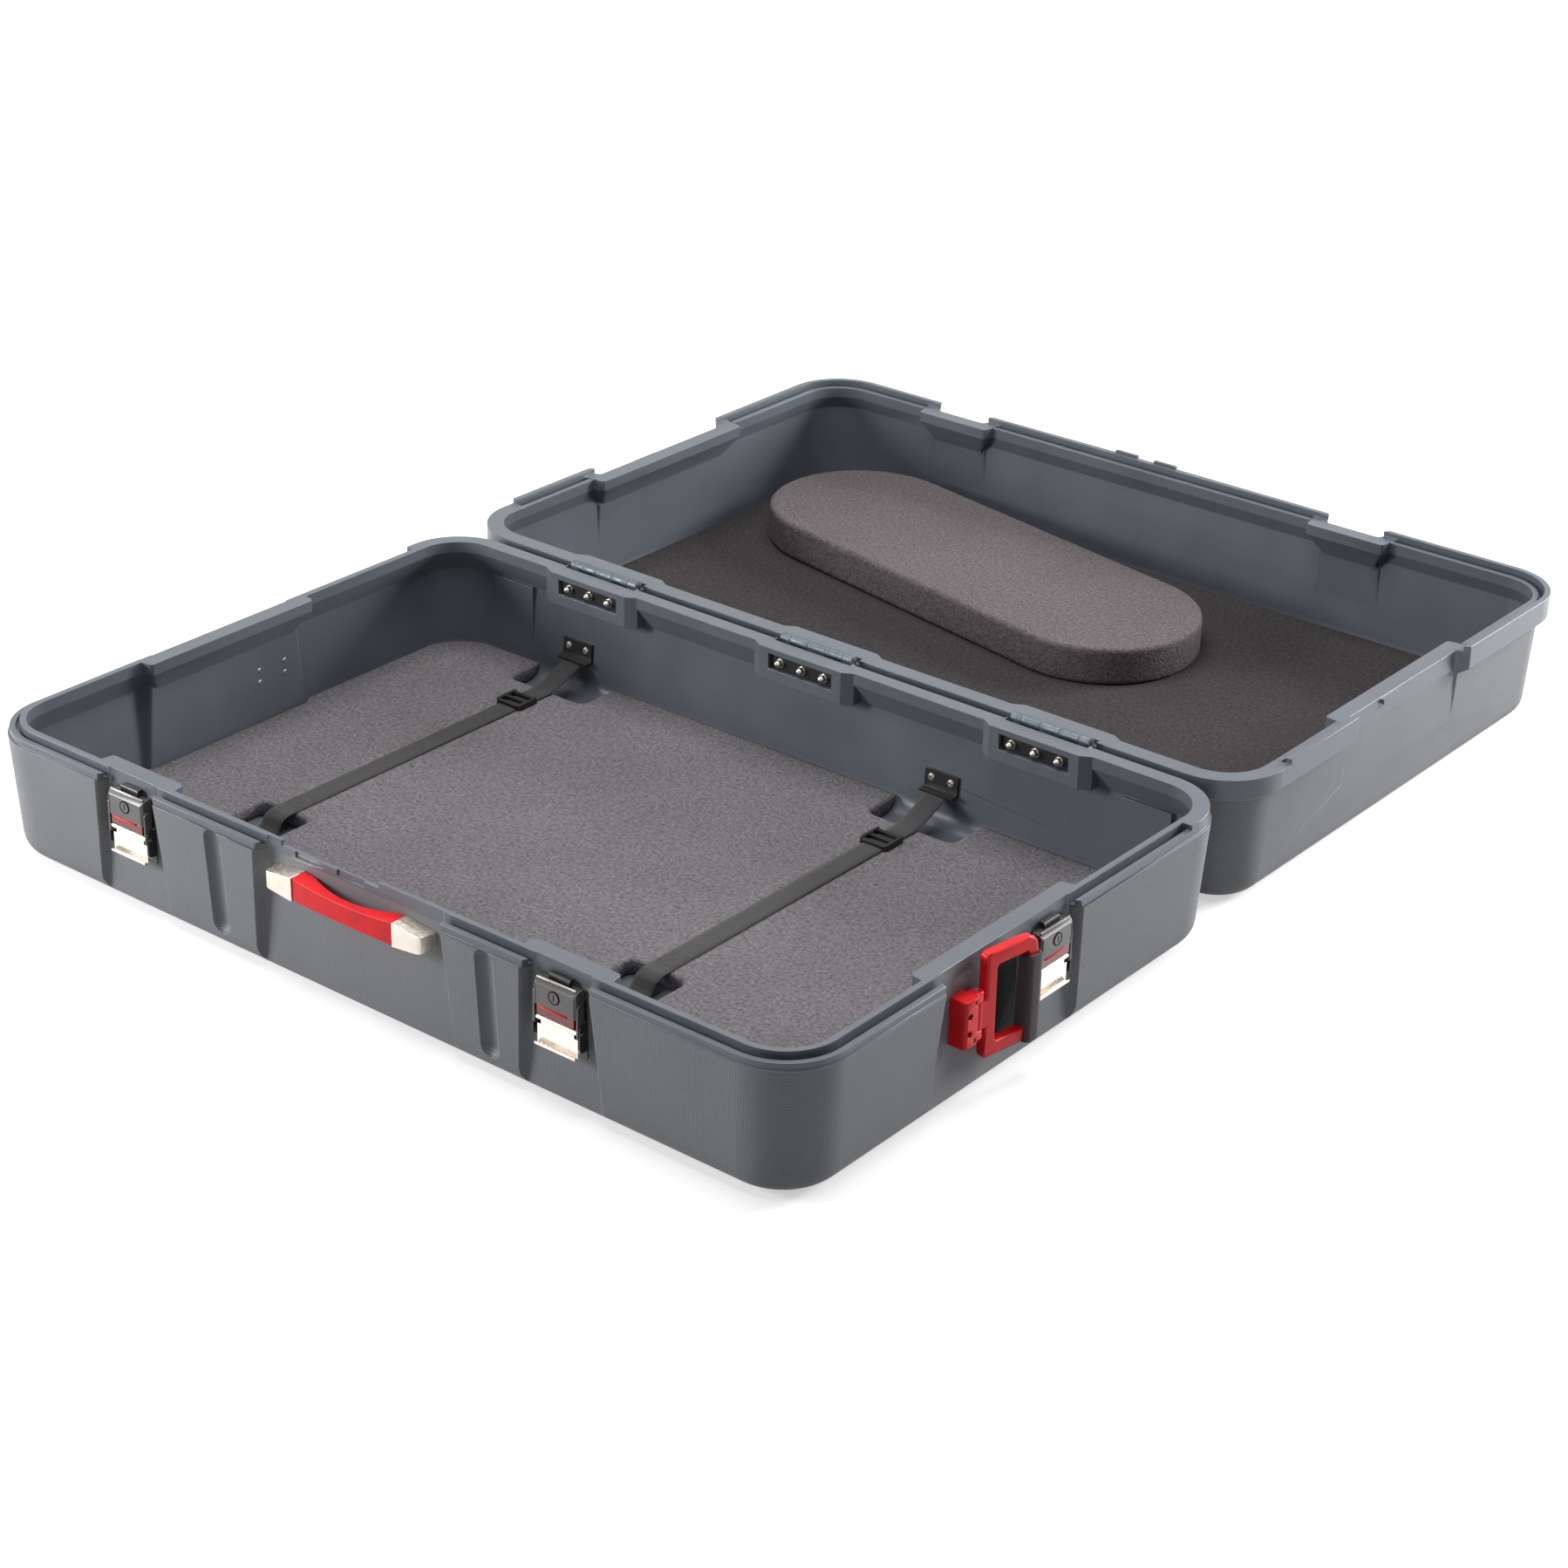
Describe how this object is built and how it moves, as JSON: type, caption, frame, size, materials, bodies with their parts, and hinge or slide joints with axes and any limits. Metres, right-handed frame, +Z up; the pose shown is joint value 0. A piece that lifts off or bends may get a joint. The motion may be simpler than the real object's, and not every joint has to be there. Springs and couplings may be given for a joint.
{
  "type": "bike travel case",
  "caption": "Hard-shell travel case for a dismantled bicycle, hinged halves opened flat, foam liners, straps, lever latches, a carry handle and a swinging pull handle.",
  "frame": {"origin": "middle of the flat underside of the base half, on the ground", "axes": "+X along the hinge line towards the pull handle, +Y from the base half to the lid half, +Z up"},
  "size_m": [1.2095, 1.5705, 0.176],
  "materials": {
    "shell_plastic": "textured",
    "liner_foam": "soft",
    "bright_steel": "polished",
    "zinc_steel": "satin",
    "red_plastic": "satin",
    "satin_nickel": "satin",
    "grip_foam": "soft",
    "webbing": "woven",
    "black_plastic": "satin",
    "hinge_alloy": "satin"
  },
  "bodies": {
    "base": {"base_shell": "shell_plastic", "base_foam": "liner_foam", "base_hinge_bolts": "bright_steel", "base_backing_plates": "zinc_steel", "handle_cap_left": "satin_nickel", "handle_cap_right": "satin_nickel", "handle_screws": "bright_steel", "pull_block": "red_plastic", "pull_pin": "bright_steel", "pull_screws": "bright_steel", "floor_anchors": "zinc_steel", "wall_anchors": "zinc_steel", "anchor_bolts": "bright_steel", "latch_rivets": "bright_steel", "latch_pins": "bright_steel", "latch_inserts": "red_plastic", "hinge_base_leaf_left": "hinge_alloy", "hinge_base_leaf_middle": "hinge_alloy", "hinge_base_leaf_right": "hinge_alloy", "hinge_pin_left": "bright_steel", "hinge_pin_middle": "bright_steel", "hinge_pin_right": "bright_steel", "strap_left": "webbing", "strap_right": "webbing", "latch_plate_front_left": "bright_steel", "latch_plate_front_right": "bright_steel", "latch_plate_right_end": "bright_steel", "latch_plate_left_end": "bright_steel", "latch_housing_front_left": "black_plastic", "latch_housing_front_right": "black_plastic", "latch_housing_right_end": "black_plastic", "latch_housing_left_end": "black_plastic"},
    "lid": {"lid_shell": "shell_plastic", "lid_foam": "liner_foam", "lid_hinge_bolts": "bright_steel", "lid_backing_plates": "zinc_steel", "hinge_lid_leaf_left": "hinge_alloy", "hinge_lid_leaf_middle": "hinge_alloy", "hinge_lid_leaf_right": "hinge_alloy"},
    "pad": {"foam_pad": "liner_foam"},
    "carry_grip": {"handle_grip": "red_plastic"},
    "pull_handle": {"pull_loop": "red_plastic", "pull_grip": "grip_foam"},
    "buckle_left": {"buckle_left": "black_plastic"},
    "buckle_right": {"buckle_right": "black_plastic"},
    "lever_front_left": {"latch_lever_front_left": "bright_steel"},
    "claw_front_left": {"latch_claw_front_left": "bright_steel"},
    "lock_front_left": {"latch_lock_front_left": "bright_steel"},
    "lever_front_right": {"latch_lever_front_right": "bright_steel"},
    "claw_front_right": {"latch_claw_front_right": "bright_steel"},
    "lock_front_right": {"latch_lock_front_right": "bright_steel"},
    "lever_right_end": {"latch_lever_right_end": "bright_steel"},
    "claw_right_end": {"latch_claw_right_end": "bright_steel"},
    "lock_right_end": {"latch_lock_right_end": "bright_steel"},
    "lever_left_end": {"latch_lever_left_end": "bright_steel"},
    "claw_left_end": {"latch_claw_left_end": "bright_steel"},
    "lock_left_end": {"latch_lock_left_end": "bright_steel"}
  },
  "joints": [
    {"name": "lid_hinge", "type": "hinge", "parent": "base", "child": "lid", "pos_m": [0, 0.394, 0.165], "axis": [1, 0, 0], "range_deg": [0, 180]},
    {"name": "pad_lift", "type": "slide", "parent": "lid", "child": "pad", "axis": [0, 0, 1], "range_m": [0, 0.2]},
    {"name": "carry_grip_slide", "type": "slide", "parent": "base", "child": "carry_grip", "axis": [0, -1, 0], "range_m": [0, 0.01]},
    {"name": "pull_handle_hinge", "type": "hinge", "parent": "base", "child": "pull_handle", "pos_m": [0.591, -0.094, 0.101], "axis": [0, 0, -1], "range_deg": [0, 80]},
    {"name": "buckle_slide_left", "type": "slide", "parent": "base", "child": "buckle_left", "axis": [0, -1, 0], "range_m": [0, 0.35]},
    {"name": "buckle_slide_right", "type": "slide", "parent": "base", "child": "buckle_right", "axis": [0, -1, 0], "range_m": [0, 0.35]},
    {"name": "lever_front_left", "type": "hinge", "parent": "base", "child": "lever_front_left", "pos_m": [-0.35, -0.382, 0.1], "axis": [-1, 0, 0], "range_deg": [0, 100]},
    {"name": "claw_front_left", "type": "slide", "parent": "base", "child": "claw_front_left", "axis": [0, 0, 1], "range_m": [0, 0.0261]},
    {"name": "lock_front_left", "type": "hinge", "parent": "base", "child": "lock_front_left", "pos_m": [-0.35, -0.3875, 0.132], "axis": [0, -1, 0], "range_deg": [0, 90]},
    {"name": "lever_front_right", "type": "hinge", "parent": "base", "child": "lever_front_right", "pos_m": [0.286, -0.382, 0.1], "axis": [-1, 0, 0], "range_deg": [0, 100]},
    {"name": "claw_front_right", "type": "slide", "parent": "base", "child": "claw_front_right", "axis": [0, 0, 1], "range_m": [0, 0.0261]},
    {"name": "lock_front_right", "type": "hinge", "parent": "base", "child": "lock_front_right", "pos_m": [0.286, -0.3875, 0.132], "axis": [0, -1, 0], "range_deg": [0, 90]},
    {"name": "lever_right_end", "type": "hinge", "parent": "base", "child": "lever_right_end", "pos_m": [0.589, 0.042, 0.1], "axis": [0, -1, 0], "range_deg": [0, 100]},
    {"name": "claw_right_end", "type": "slide", "parent": "base", "child": "claw_right_end", "axis": [0, 0, 1], "range_m": [0, 0.0261]},
    {"name": "lock_right_end", "type": "hinge", "parent": "base", "child": "lock_right_end", "pos_m": [0.5945, 0.042, 0.132], "axis": [1, 0, 0], "range_deg": [0, 90]},
    {"name": "lever_left_end", "type": "hinge", "parent": "base", "child": "lever_left_end", "pos_m": [-0.589, 0.042, 0.1], "axis": [0, 1, 0], "range_deg": [0, 100]},
    {"name": "claw_left_end", "type": "slide", "parent": "base", "child": "claw_left_end", "axis": [0, 0, 1], "range_m": [0, 0.0261]},
    {"name": "lock_left_end", "type": "hinge", "parent": "base", "child": "lock_left_end", "pos_m": [-0.5945, 0.042, 0.132], "axis": [-1, 0, 0], "range_deg": [0, 90]}
  ],
  "couplings": [
    {"joint": "claw_front_left", "follows": "lever_front_left", "m_per_rad": 0.014897},
    {"joint": "claw_front_right", "follows": "lever_front_right", "m_per_rad": 0.014897},
    {"joint": "claw_right_end", "follows": "lever_right_end", "m_per_rad": 0.014897},
    {"joint": "claw_left_end", "follows": "lever_left_end", "m_per_rad": 0.014897}
  ]
}
